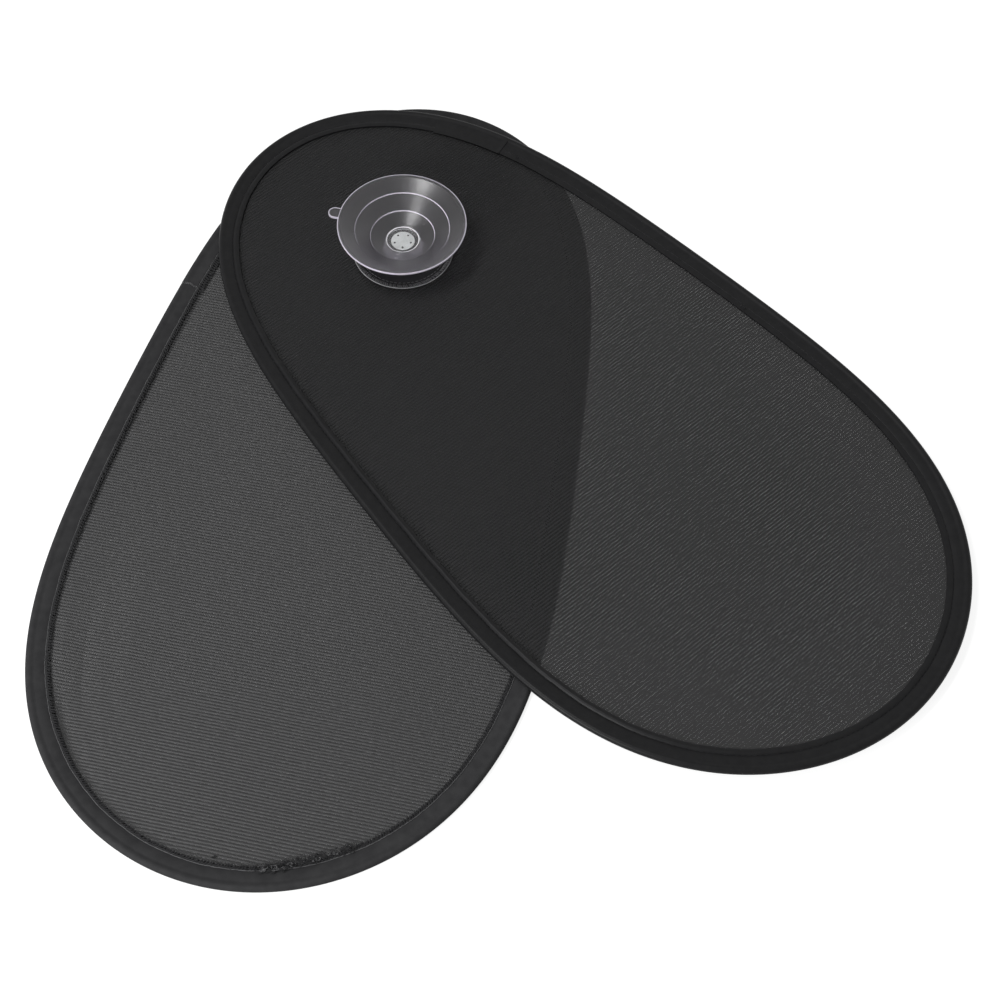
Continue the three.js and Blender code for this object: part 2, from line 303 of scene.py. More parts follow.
# Grey thread: the patch's own grey stitching, and painted highlight on the tape's chain, the rear joint's
# cut yarns and the pale frays
GREY_THREAD_AND_HIGHLIGHT = sewing_thread("grey_thread_and_painted_highlight", (0.05, 0.05, 0.052), (0.09, 0.09, 0.093), 0.3, 0.2)
PATCH = fabric("patch_black", (0.008, 0.008, 0.009), (0.013, 0.013, 0.014),
               roughness=0.85, specular=0.2, sheen=0.05, grain=2600, depth=0.05 * MM)
VINYL = clear_plastic("clear_vinyl", (0.5, 0.48, 0.53), 0.28, 0.2)
# A paler copy of the cup's vinyl for its hub, and pale opaque finishes for its edges and hub rings: painted
# light and painted highlights
VINYL_HUB_PAINTED_LIGHT = clear_plastic("clear_vinyl_hub", (0.97, 0.97, 0.98), 0.03)
HUB_EDGE_PAINTED_HIGHLIGHT = moulded("clear_vinyl_hub_edge_painted_highlight", (0.75, 0.74, 0.78), (0.85, 0.84, 0.88), 0.2)
VINYL_EDGE_PAINTED_HIGHLIGHT = moulded("clear_vinyl_edge_painted_highlight", (0.5, 0.47, 0.55), (0.6, 0.57, 0.65), 0.25)
CLEAR_NYLON = clear_plastic("clear_nylon", (0.88, 0.88, 0.9), 0.25)
# Dark grey for the rivet head's holes: painted shade
RECESS_PAINTED_SHADE = moulded("nylon_recess_painted_shade", (0.03, 0.03, 0.03), (0.05, 0.05, 0.05), 0.6)
NYLON = moulded("pale_nylon", (0.56, 0.58, 0.57), (0.64, 0.66, 0.65), 0.4)
STEEL = drawn_steel("spring_wire")


# Meshes
SHARP_ANGLE = math.radians(50)
WELD = 1e-7
FILLET_SHARE = 0.45


def piece(name, parts, body, finish, smooth=True):
    """One object from (points, faces) parts."""
    points = np.concatenate([part[0] for part in parts])
    starts = np.cumsum([0] + [len(part[0]) for part in parts[:-1]])
    faces = []
    for part, start in zip(parts, starts):
        faces += [tuple(corner + start for corner in face) for face in part[1]]
    mesh = bpy.data.meshes.new(name)
    mesh.from_pydata(points.tolist(), [], faces)
    mesh.polygons.foreach_set("use_smooth", [smooth] * len(mesh.polygons))
    mesh.update()
    if smooth:
        mesh.set_sharp_from_angle(angle=SHARP_ANGLE)
    made = bpy.data.objects.new(name, mesh)
    bpy.context.scene.collection.objects.link(made)
    made.data.materials.append(finish)
    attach(made, body)
    return made


def grid_faces(rows, columns, closed_rows, closed_columns):
    faces = []
    for i in range(rows if closed_rows else rows - 1):
        here = i * columns
        there = ((i + 1) % rows) * columns
        for j in range(columns if closed_columns else columns - 1):
            k = (j + 1) % columns
            faces.append((here + j, here + k, there + k, there + j))
    return faces


def tubes(paths, section, up=(0, 0, 1)):
    """Closed strands along paths (n, m, 3), with a flat section of (aside, above) points."""
    paths = np.asarray(paths, float)
    section = np.asarray(section, float)
    along = np.gradient(paths, axis=1)
    along /= np.linalg.norm(along, axis=2, keepdims=True)
    aside = np.cross(along, np.asarray(up, float))
    aside /= np.linalg.norm(aside, axis=2, keepdims=True)
    above = np.cross(aside, along)
    rings = paths[:, :, None] + aside[:, :, None] * section[:, 0, None]
    rings = rings + above[:, :, None] * section[:, 1, None]
    strands, stations, corners = rings.shape[:3]
    ring_faces = grid_faces(stations, corners, False, True)
    last = (stations - 1) * corners
    one = [face[::-1] for face in ring_faces]
    one += [tuple(range(corners)), tuple(last + k for k in reversed(range(corners)))]
    size = stations * corners
    faces = [tuple(corner + s * size for corner in face) for s in range(strands) for face in one]
    return rings.reshape(-1, 3), faces


def round_section(radius, corners=5):
    angles = 2 * np.pi * np.arange(corners) / corners
    return np.stack([radius * np.cos(angles), radius * np.sin(angles)], axis=1)


def turned(profile, segments, closed=True):
    """Solid of revolution about +Z from a closed profile of (radius, height) points."""
    profile = np.asarray(profile, float)
    angles = 2 * np.pi * np.arange(segments) / segments
    points = np.stack([
        np.cos(angles)[:, None] * profile[None, :, 0],
        np.sin(angles)[:, None] * profile[None, :, 0],
        np.broadcast_to(profile[None, :, 1], (segments, len(profile))),
    ], axis=2).reshape(-1, 3)
    return points, grid_faces(segments, len(profile), True, closed)


def filleted(profile, radius, steps=4):
    """The closed profile with each corner off the axis rounded."""
    profile = [np.array(point, float) for point in profile]
    result = []
    for i, corner in enumerate(profile):
        before = profile[i - 1] - corner
        after = profile[(i + 1) % len(profile)] - corner
        reach = min(radius, FILLET_SHARE * np.linalg.norm(before), FILLET_SHARE * np.linalg.norm(after))
        if corner[0] < 10 * WELD or reach < WELD:
            result.append(corner)
            continue
        start = corner + before / np.linalg.norm(before) * reach
        end = corner + after / np.linalg.norm(after) * reach
        for s in range(steps + 1):
            t = s / steps
            result.append((1 - t) ** 2 * start + 2 * t * (1 - t) * corner + t ** 2 * end)
    return np.array(result)


def cleaned(made):
    """Joins doubled points, drops faces of no area and turns every face outwards."""
    work = bmesh.new()
    work.from_mesh(made.data)
    bmesh.ops.remove_doubles(work, verts=work.verts, dist=WELD)
    bmesh.ops.dissolve_degenerate(work, edges=work.edges, dist=WELD / 10)
    bmesh.ops.recalc_face_normals(work, faces=work.faces)
    work.to_mesh(made.data)
    work.free()
    made.data.set_sharp_from_angle(angle=SHARP_ANGLE)
    return made


def combined(target, other, operation):
    """Exact union or cut of target with other, which is used up."""
    step = target.modifiers.new("combine", "BOOLEAN")
    step.operation = operation
    step.object = other
    step.solver = "EXACT"
    bpy.context.view_layer.update()
    depsgraph = bpy.context.evaluated_depsgraph_get()
    result = bpy.data.meshes.new_from_object(target.evaluated_get(depsgraph))
    target.modifiers.clear()
    target.data = result
    target.data.set_sharp_from_angle(angle=SHARP_ANGLE)
    bpy.data.objects.remove(other, do_unlink=True)
    return target


# Outline of a panel

def egg_half_width(turn):
    fullness = 1 + sum(term * np.cos((k + 1) * turn) for k, term in enumerate(EGG_TERMS))
    return fullness * np.sin(turn)


EGG_SCALE = PANEL_WIDTH / 2 / egg_half_width(np.linspace(0, np.pi, 401)).max()


def edge_point(turn):
    along = PANEL_LENGTH * (1 - np.cos(turn)) / 2 - NARROW_REACH
    return np.stack([along, EGG_SCALE * egg_half_width(turn)], axis=-1)


def edge_inward(turn):
    tangent = edge_point(turn + 1e-3) - edge_point(turn - 1e-3)
    tangent /= np.linalg.norm(tangent, axis=-1, keepdims=True)
    return np.stack([tangent[..., 1], -tangent[..., 0]], axis=-1)


TURNS = np.linspace(-np.pi, np.pi, 3601)
STEP_LENGTHS = np.linalg.norm(np.diff(edge_point(TURNS), axis=0), axis=1)
ARCS = np.concatenate([[0], np.cumsum(STEP_LENGTHS)])
PERIMETER = ARCS[-1]


def arc_at(turn_degrees):
    return np.interp(math.radians(turn_degrees), TURNS, ARCS)


def on_edge(arc, inset, height):
    """Points at a length round the edge, an inset from it and a height."""
    turn = np.interp(np.mod(arc, PERIMETER), ARCS, TURNS)
    flat = edge_point(turn) + edge_inward(turn) * np.asarray(inset)[..., None]
    return np.concatenate([flat, np.broadcast_to(height, flat.shape[:-1])[..., None]], axis=-1)


# The panels in the frame

def box_middle(node):
    low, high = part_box(node)
    return (low + high) / 2


PIVOT = box_middle("rivet_cap")


class Panel:
    def __init__(self, prefix, matrix, lap_turn, slit):
        self.prefix = prefix
        self.slit = slit
        self.body = f"{prefix}_panel"
        self.matrix = matrix
        self.lap_turn = lap_turn

    def laid(self, part):
        points, faces = part
        turned_points = points @ np.array(self.matrix.to_3x3()).T + np.array(self.matrix.translation)
        return turned_points, faces

    def piece(self, name, parts, slot, finish, smooth=True):
        parts = [self.laid(part) for part in parts]
        return piece(f"{self.prefix}_{name}", parts, self.body, finish, smooth)


def panel_matrix(node, turn, flip):
    place = Matrix.Translation((PIVOT.x, PIVOT.y, box_middle(node).z))
    return place @ Matrix.Rotation(turn, 4, "Z") @ Matrix.Rotation(flip, 4, "X")


FRONT = Panel("front", panel_matrix("front_mesh", HALF_FAN - math.pi / 2, 0), FRONT_LAP_TURN, FRONT_SLIT)
REAR = Panel("rear", panel_matrix("rear_mesh", -HALF_FAN - math.pi / 2, math.pi), REAR_LAP_TURN, REAR_SLIT)


# Knit

def inset_outline(inset):
    turn = np.linspace(0, np.pi, 721)
    return edge_point(turn) + edge_inward(turn) * inset


def spans_past_pivot(start, end, offset):
    """One span, or two where the strand meets the rivet's hole."""
    if abs(offset) >= PIVOT_HOLE:
        return [(start, end)]
    half = math.sqrt(PIVOT_HOLE ** 2 - offset ** 2)
    return [(start, -half), (half, end)]


def sway(panel, x, y):
    """Gentle rise and fall of the stretched cloth, with the rear one's ripple."""
    bend = SWAY_BENDING * np.sin(y / SWAY_BEND)
    rise = SWAY_HEIGHT * np.sin(x / SWAY_LENGTH + bend) * np.cos(y / SWAY_WIDTH)
    if panel is not REAR:
        return rise + 0 * x
    away = ((x - RIPPLE_MIDDLE[0]) / RIPPLE_REACH[0]) ** 2 + ((y - RIPPLE_MIDDLE[1]) / RIPPLE_REACH[1]) ** 2
    wave = np.sin(2 * np.pi * (y - RIPPLE_MIDDLE[1]) / RIPPLE_LENGTH)
    return rise + RIPPLE_HEIGHT * np.exp(-away) * wave


def rib_rows(panel):
    """Strands across the panel: a steep ridge on the back and a flat belly on the face."""
    upper = inset_outline(KNIT_TUCK)
    paths = []
    for x in np.arange(upper[:, 0].min() + RIB_PITCH, upper[:, 0].max() - RIB_PITCH / 2, RIB_PITCH):
        half = np.interp(x, upper[:, 0], upper[:, 1])
        for start, end in spans_past_pivot(-half, half, x):
            y = np.linspace(start, end, RIB_STEPS)
            bow = STRAND_WANDER * np.sin(y / RIB_WAVES[0] + x / RIB_WAVES[1])
            paths.append(np.stack([x + bow, y, sway(panel, x, y)], axis=1))
    edge = (RIB_PITCH - panel.slit) / 2
    top = RIB_TOP / 2
    back = [(-edge, 0), (-top, -RIB_CREST), (top, -RIB_CREST)]
    face = [(edge, 0), (top, RIB_BELLY), (-top, RIB_BELLY)]
    return tubes(paths, back + face)


def wale_rows(panel):
    upper = inset_outline(KNIT_TUCK)
    top = upper[:, 1].argmax()
    paths = []
    for y in np.arange(-upper[top, 1] + WALE_PITCH, upper[top, 1] - WALE_PITCH / 2, WALE_PITCH):
        start = np.interp(abs(y), upper[:top + 1, 1], upper[:top + 1, 0])
        end = np.interp(-abs(y), -upper[top:, 1], upper[top:, 0])
        for first, last in spans_past_pivot(start, end, y):
            x = np.linspace(first, last, WALE_STEPS)
            drift = STRAND_WANDER * np.sin(x / WALE_WAVES[0] + y / WALE_WAVES[1])
            paths.append(np.stack([x, y + drift, sway(panel, x, y) + RIB_BELLY], axis=1))
    half_width = WALE_WIDTH / 2
    return tubes(paths, [(half_width, 0), (0, WALE_CREST), (-half_width, 0)])


def knit(panel):
    ribs = rib_rows(panel)
    made = panel.piece("knit", [ribs, wale_rows(panel)], "knit_mesh", RIB_FLANK_PAINTED_LIGHT, smooth=False)
    finishes = (RIB_FLANK_PAINTED_LIGHT, RIB_RIDGE_PAINTED_SHADE, FACE_FLANK_PAINTED_LIGHT, FACE_RIDGE_PAINTED_SHADE, WALE)
    for finish in finishes[1:]:
        made.data.materials.append(finish)
    # The finish of each side of a rib, in the order of its section; wales have the last one. The ridges are
    # painted darker and the flanks lighter than the one yarn: painted shade and painted light that draw the
    # knit's stripes.
    by_side = np.array([0, 1, 0, 2, 3, 2])
    sides = len(by_side)
    strand_faces = sides * (RIB_STEPS - 1) + 2
    order = np.arange(len(ribs[1])) % strand_faces
    slots = np.full(len(made.data.polygons), len(finishes) - 1)
    slots[:len(ribs[1])] = by_side[order % sides]
    made.data.polygons.foreach_set("material_index", slots)
    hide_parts(f"{panel.prefix}_mesh")
    return made


# Binding

def smoothstep(t):
    t = np.clip(t, 0, 1)
    return t * t * (3 - 2 * t)


def ramp_height(inset):
    return BULB_RADIUS + (LEG_HEIGHT - BULB_RADIUS) * smoothstep((inset - BULB_RADIUS) / BULB_RAMP)


def round_edge(arc, values):
    """A size that changes round the panel, at each length round its edge."""
    turn = np.degrees(np.interp(np.mod(arc, PERIMETER), ARCS, TURNS))
    return np.interp(turn, HEM_TURNS, values)


def face_height(inset, end, rise):
    """Outer side of the tape's face: bulb, flat tape, groove and rolled hem."""
    hem_start = end - HEM_WIDTH
    groove = np.clip(1 - np.abs(inset - hem_start + GROOVE_WIDTH / 2) / (GROOVE_WIDTH / 2), 0, 1)
    across_hem = np.clip((inset - hem_start) / HEM_WIDTH, 0, 1)
    depth = GROOVE_DEPTH * np.minimum(rise / FULL_GROOVE_RISE, 1)
    return ramp_height(inset) - depth * groove + rise * np.sin(np.pi * across_hem ** HEM_LEAN)


def arc_points(radius, start, end, steps):
    angles = np.radians(np.linspace(start, end, steps + 1))
    return np.stack([BULB_RADIUS + radius * np.cos(angles), radius * np.sin(angles)], axis=1)


RAMP_INSETS = BULB_RADIUS + BULB_RAMP * np.linspace(0, 1, 5)[1:]


def outer_face(arc):
    """(inset, height) across the tape's face at each station, stations by points."""
    end = round_edge(arc, HEM_ENDS)[:, None]
    rise = round_edge(arc, HEM_RISES)[:, None]
    hem_start = end - HEM_WIDTH
    groove = hem_start - GROOVE_WIDTH * np.array([1, 0.5, 0])
    hem = hem_start + HEM_WIDTH * np.linspace(0, 1, 10)[1:]
    inset = np.concatenate([np.broadcast_to(RAMP_INSETS, (len(arc), len(RAMP_INSETS))), groove, hem], axis=1)
    return np.stack([inset, face_height(inset, end, rise)], axis=2)


def outer_back(arc):
    """The same across the tape's back, with a shallow step where the chain of the overlock lies."""
    inset = np.concatenate([RAMP_INSETS, CHAIN_INSET + STEP_PLACES, [BACK_LEG]])
    drop = np.array([0] * len(RAMP_INSETS) + [*STEP_DROPS, BACK_END_DROP])
    section = np.stack([inset, drop - ramp_height(inset)], axis=1)
    return np.broadcast_to(section, (len(arc), len(section), 2))


def pucker(arc):
    """Small unevenness of the sewn tape round the panel."""
    turns = 2 * np.pi * arc / PERIMETER
    return sum(height * np.sin(waves * turns + shift) for height, waves, shift in PUCKER_WAVES)


def binding(panel):
    arc = PERIMETER * np.arange(TAPE_STATIONS) / TAPE_STATIONS
    face = outer_face(arc)
    slot_angle = math.degrees(math.asin(SLOT_HALF / CHANNEL_RADIUS))

    def same_all_round(points):
        points = np.asarray(points)
        return np.broadcast_to(points, (len(arc), len(points), 2))

    face_lip = np.stack([face[:, -1, 0], np.full(len(arc), SLOT_HALF)], axis=1)[:, None]
    section = np.concatenate([
        face,
        face_lip,
        same_all_round(arc_points(CHANNEL_RADIUS, slot_angle, 360 - slot_angle, CHANNEL_STEPS)),
        same_all_round([(BACK_LEG, -SLOT_HALF)]),
        outer_back(arc)[:, ::-1],
        same_all_round(arc_points(BULB_RADIUS, 270, 90, BULB_STEPS)),
    ], axis=1)
    uneven = pucker(arc)[:, None]
    on_tape = section[..., 0] > BULB_RADIUS + BULB_RAMP
    inset = section[..., 0] + PUCKER_ASIDE * uneven * on_tape
    height = section[..., 1] + PUCKER_RISE * uneven * on_tape * np.sign(section[..., 1])
    columns = section.shape[1]
    points = on_edge(np.repeat(arc[:, None], columns, 1), inset, height).reshape(-1, 3)
    faces = grid_faces(len(arc), columns, True, True)
    made = panel.piece("tape", [(points, faces)], "edge_tape", TAPE)
    cleaned(made)
    two_sided(made, panel)
    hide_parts(f"{panel.prefix}_binding")
    return made


def two_sided(made, panel):
    """Gives the tape's felted back its own finish, on the panel's back side."""
    made.data.materials.append(TAPE_BACK)
    back_up = -np.array(panel.matrix.to_3x3())[2, 2]
    middle = panel.matrix.translation.z
    for face in made.data.polygons:
        face.material_index = int((face.center.z - middle) * back_up > 0)


def shell(outline, thickness):
    """Closed section of a layer on an outline, stations by points; it sinks in a little to meet it."""
    along = np.gradient(outline, axis=1)
    normal = np.stack([along[..., 1], -along[..., 0]], axis=2)
    normal /= np.linalg.norm(normal, axis=2, keepdims=True)
    upper = outline + normal * thickness
    lower = outline - normal * LAP_SINK
    return np.concatenate([lower, upper[:, ::-1]], axis=1)


def tape_lap(panel):
    """The end of the tape laid over its start: a flat strip on the front's face, wrapped on the rear."""
    end = arc_at(panel.lap_turn)
    arc = np.linspace(end - LAP_LENGTH, end, 30)
    if panel is FRONT:
        inset = np.linspace(*FACE_LAP_INSETS, 12)
        outline = np.stack([inset, ramp_height(inset) + FACE_LAP_BASE], axis=1)
    else:
        inset = np.linspace(BULB_RADIUS + BACK_LAP_START, BACK_LAP_INSET, 10)
        back = np.stack([inset, -ramp_height(inset)], axis=1)
        outline = np.concatenate([back[::-1], arc_points(BULB_RADIUS, 270, 90, 14)])
    ragged = RAGGED_REACH * np.sin(outline[:, 0] / RAGGED_WAVE) * (panel is REAR)
    thickness = LAP_THICKNESS * smoothstep((arc - arc[0]) / LAP_FADE)[:, None, None]
    layer = shell(np.broadcast_to(outline, (len(arc), *outline.shape)), thickness)
    lift = LAP_LIFT * smoothstep((arc - end + LAP_LIFT_LENGTH) / LAP_LIFT_LENGTH)[:, None]
    layer[..., 1] += lift * np.sign(layer[..., 1]) * smoothstep((layer[..., 0] - BULB_RADIUS) / BULB_RAMP)
    if panel is FRONT:
        layer = layer[:, ::-1]
    columns = layer.shape[1]
    near_end = smoothstep((arc - end + RAGGED_LENGTH) / RAGGED_LENGTH)
    shift = np.concatenate([ragged, ragged[::-1]])[None, :] * near_end[:, None]
    points = on_edge(arc[:, None] + shift, layer[..., 0], layer[..., 1])
    faces = grid_faces(len(arc), columns, False, True)
    last = (len(arc) - 1) * columns
    faces += [tuple(reversed(range(columns))), tuple(last + k for k in range(columns))]
    made = panel.piece("tape_lap", [(points.reshape(-1, 3), faces)], "edge_tape", TAPE)
    cleaned(made)
    if panel is REAR:
        two_sided(made, panel)
    return made


# Stitching

def sewn(panel, name, paths, radius, corners, slot, finish):
    """A piece of thread along paths."""
    return panel.piece(name, [tubes(paths, round_section(radius, corners))], slot, finish)


def overlock(panel):
    """Loops of thread from the tape's back over its edge to the mesh, wider just before the tape's joint."""
    count = int(PERIMETER / OVERLOCK_PITCH)
    arc = PERIMETER * np.arange(count) / count
    before_lap = arc_at(panel.lap_turn) - arc
    ending = smoothstep(before_lap / WIDE_OVERLOCK_END + 1)
    wide = ending * smoothstep((WIDE_OVERLOCK_LENGTH - before_lap) / WIDE_OVERLOCK_START)
    widened = OVERLOCK_REACH + (WIDE_OVERLOCK_REACH - OVERLOCK_REACH) * wide
    reach = widened + rng.normal(0, OVERLOCK_UNEVEN, count)
    steps = np.array([0, 0.25, 0.5, 0.75, 1.0])
    inset = OVERLOCK_START + reach[:, None] * steps
    skewed = arc[:, None] + rng.normal(0, OVERLOCK_SKEW, count)[:, None] * OVERLOCK_PITCH
    slant = skewed + OVERLOCK_PITCH * OVERLOCK_SLANT * steps
    height = -(LEG_HEIGHT + OVERLOCK_BULGE * np.sin(OVERLOCK_ARCH))
    paths = on_edge(slant, inset, height[None])
    return sewn(panel, "overlock", paths, 2 * THREAD, 5, "edge_tape", EDGE_THREAD)


def edge_line(panel):
    """Chain of the overlock where it lies on the tape, in pale thread: a real chain, its paleness a painted
    highlight along the tape's inner edge.
    """
    count = int(PERIMETER / OVERLOCK_PITCH)
    arc = PERIMETER * np.arange(count) / count
    along = arc[:, None] + OVERLOCK_PITCH * CHAIN_STATIONS
    wander = rng.normal(0, CHAIN_UNEVEN, count)[:, None] + PUCKER_ASIDE * pucker(arc)[:, None]
    inset = CHAIN_INSET + wander + CHAIN_ZIGZAG
    height = np.full_like(inset, -LEG_HEIGHT)
    paths = on_edge(along, inset, height)
    return sewn(panel, "edge_chain", paths, 1.1 * THREAD, 4, "edge_tape", GREY_THREAD_AND_HIGHLIGHT)


def curls(panel, turns, insets, count, radii, heights):
    """Tangled loops of loose thread between two turns and two insets, sizes in millimetres."""
    arc = rng.uniform(arc_at(turns[0]), arc_at(turns[1]), count)[:, None]
    inset = rng.uniform(insets[0] * MM, insets[1] * MM, count)[:, None]
    radius = rng.uniform(radii[0] * MM, radii[1] * MM, count)[:, None]
    height = rng.uniform(heights[0] * MM, heights[1] * MM, count)[:, None]
    lean = rng.uniform(*CURL_LEANS, count)[:, None]
    sweep = rng.uniform(0, 2 * np.pi, count)[:, None] + np.linspace(0, CURL_SWEEP, CURL_STATIONS)
    side = rng.choice([-1, 1], count)[:, None]
    drift = np.linspace(-CURL_DRIFT, CURL_DRIFT, CURL_STATIONS) * radius * side
    around = arc + radius * np.cos(sweep) + drift
    across = inset + radius * lean * np.sin(sweep)
    rise = height - CURL_RISE * np.sin(np.linspace(0, 3 * np.pi, CURL_STATIONS))
    return tubes(on_edge(around, across, rise), round_section(0.9 * THREAD, 5))


def frays(panel):
    """Loose thread where the overlock has come undone."""
    tangles = REAR_TANGLES if panel is REAR else FRONT_TANGLES
    parts = [curls(panel, *tangle) for tangle in tangles]
    return panel.piece("loose_thread", parts, "edge_tape", EDGE_THREAD)


def painted_highlight_frays(panel):
    """Paler copies of the loose thread on top of the tangle: painted highlight."""
    parts = [curls(panel, *tangle) for tangle in PAINTED_HIGHLIGHT_TANGLES]
    return panel.piece("loose_thread_painted_highlight", parts, "edge_tape", GREY_THREAD_AND_HIGHLIGHT)


def lap_fringe(panel):
    """Cut ends of the tape's yarns along the rear joint, in grey thread: real cut ends with a painted
    highlight.
    """
    inset = rng.uniform(FRINGE_START, BACK_LAP_INSET, FRINGE_COUNT)[:, None]
    start = arc_at(panel.lap_turn) + RAGGED_REACH * np.sin(inset / RAGGED_WAVE)
    reach = rng.uniform(*FRINGE_REACHES, FRINGE_COUNT)[:, None]
    steps = np.linspace(-0.5, 1, 4)
    aside = rng.normal(0, FRINGE_SPREAD, FRINGE_COUNT)[:, None] * steps ** 2
    height = -(ramp_height(inset) + LAP_THICKNESS * (0.8 - 0.6 * np.clip(steps, 0, 1)))
    paths = on_edge(start + reach * steps, inset + aside, height)
    return sewn(panel, "lap_fringe", paths, 0.7 * THREAD, 4, "edge_tape", GREY_THREAD_AND_HIGHLIGHT)


def hem_stitches(panel):
    """Needle stitches sunk in the groove beside the rolled hem."""
    count = int(PERIMETER / SEAM_PITCH)
    arc = PERIMETER * np.arange(count) / count
    along = arc[:, None] + SEAM_PITCH * np.array([0, 0.25, 0.6, 0.85])
    inset = round_edge(along, HEM_ENDS) - HEM_WIDTH - GROOVE_WIDTH / 2 + PUCKER_ASIDE * pucker(along)
    depth = GROOVE_DEPTH * np.minimum(round_edge(along, HEM_RISES) / FULL_GROOVE_RISE, 1)
    bulge = THREAD * np.array([-0.5, 0.9, 0.9, -0.5])
    height = LEG_HEIGHT - depth + bulge * (0.4 + 0.6 * depth / GROOVE_DEPTH)
    paths = on_edge(along, inset, height)
    return sewn(panel, "hem_stitches", paths, THREAD, 4, "edge_tape", EDGE_THREAD)


# Patch

def patch_profile():
    top = PATCH_BASE + PATCH_THICKNESS
    bead = []
    for angle in np.linspace(0, math.pi, 9):
        radius = PATCH_RADIUS - PATCH_BEAD_WIDTH / 2 * (1 + math.cos(angle))
        bead.append((radius, top + (PATCH_BEAD - PATCH_THICKNESS) * math.sin(angle)))
    return [(PIVOT_HOLE, top)] + bead + [(PATCH_RADIUS, PATCH_BASE), (PIVOT_HOLE, PATCH_BASE)]


def around_pivot(angle, radius, height):
    angle, radius, height = np.broadcast_arrays(angle, radius, height)
    return np.stack([radius * np.cos(angle), radius * np.sin(angle), height], axis=-1)


def patch(panel):
    made = panel.piece("patch_cloth", [turned(patch_profile(), 144)], "patch_fabric", PATCH)
    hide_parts(f"{panel.prefix}_patch")
    return cleaned(made)


def patch_overlock(panel):
    """Loops of thread over the bead at the patch's edge."""
    count = int(2 * math.pi * PATCH_RADIUS / PATCH_OVERLOCK_PITCH)
    even = 2 * np.pi * np.arange(count)[:, None] / count
    angle = even + rng.normal(0, PATCH_OVERLOCK_SKEW, count)[:, None]
    sweep = np.linspace(-0.1, 1, 6)
    half_width = PATCH_BEAD_WIDTH / 2
    radius = PATCH_RADIUS - half_width + (half_width + PATCH_OVERLOCK_ASIDE) * np.cos(np.pi * (1 - sweep))
    rise = PATCH_BEAD - PATCH_THICKNESS + PATCH_OVERLOCK_RISE
    height = PATCH_BASE + PATCH_THICKNESS + rise * np.sin(np.pi * np.clip(sweep, 0, 1))
    paths = around_pivot(angle + PATCH_OVERLOCK_SLANT * sweep, radius[None], height[None])
    return sewn(panel, "patch_overlock", paths, 1.5 * THREAD, 5, "patch_fabric", GREY_THREAD_AND_HIGHLIGHT)


def patch_edge_line(panel):
    """Paler chain of the overlock along the foot of the patch's edge."""
    count = int(2 * math.pi * PATCH_RADIUS / OVERLOCK_PITCH)
    angle = 2 * np.pi * (np.arange(count)[:, None] + CHAIN_STATIONS) / count
    radius = PATCH_RADIUS + PATCH_CHAIN_ASIDE + CHAIN_ZIGZAG
    paths = around_pivot(angle, radius[None], PATCH_BASE + PATCH_CHAIN_HEIGHT)
    return sewn(panel, "patch_edge_chain", paths, 1.2 * THREAD, 5, "patch_fabric", PALE_THREAD)


def patch_stitches(panel):
    radius = PATCH_RADIUS - PATCH_STITCH_INSET
    count = int(2 * math.pi * radius / PATCH_STITCH_PITCH)
    angle = 2 * np.pi * (np.arange(count)[:, None] + np.array([0, 0.2, 0.45, 0.65])) / count
    height = PATCH_BASE + PATCH_THICKNESS + THREAD * np.array([-0.3, 0.7, 0.7, -0.3])
    paths = around_pivot(angle, radius, height[None])
    return sewn(panel, "patch_stitches", paths, 1.3 * THREAD, 4, "patch_fabric", GREY_THREAD_AND_HIGHLIGHT)


# Pivot and cup

def turned_piece(name, node, profile, segments, body, finish, fillet=0.2 * MM):
    points, faces = turned(filleted(profile, fillet), segments)
    points = points + np.array([PIVOT.x, PIVOT.y, 0])
    made = piece(name, [(points, faces)], body, finish)
    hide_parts(node)
    return cleaned(made)


def washer(name, node, finish):
    low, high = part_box(node)
    outer = (high.x - low.x) / 2
    profile = [(PIVOT_HOLE, low.z), (outer, low.z), (outer, high.z), (PIVOT_HOLE, high.z)]
    return turned_piece(name, node, profile, 72, "rear_panel", finish)


CUP_LOW, CUP_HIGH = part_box("suction_cup")
CUP_RADIUS = 30 * MM
CUP_STEPS = ((15 * MM, 8.4 * MM), (22 * MM, 3.8 * MM))
CUP_STEP_RISE = 0.35 * MM
CUP_WALL = 1.7 * MM
CUP_FLOOR_RADIUS = 7.6 * MM
CUP_DEPTH = 11.6 * MM
RIM_LAND = 1.7 * MM
RIM_THICKNESS = 0.9 * MM
NECK_TOP = 8.5 * MM
NECK_FOOT = 9.3 * MM
LIP_HEIGHT = 2.7 * MM
SOCKET_RADIUS = 5.9 * MM
SOCKET_ROOF = 0.9 * MM
CUP_FILLET = 0.25 * MM
TAB_ANGLE = math.radians(154)
TAB_WIDTH = 6 * MM
TAB_REACH = 5 * MM
TAB_THICKNESS = 0.9 * MM
# Bands of the cup painted pale: painted highlights
EDGE_BAND = 0.45 * MM
RING_ASIDE = 0.3 * MM
RING_BELOW = 0.6 * MM
NEARLY = 0.1 * MM


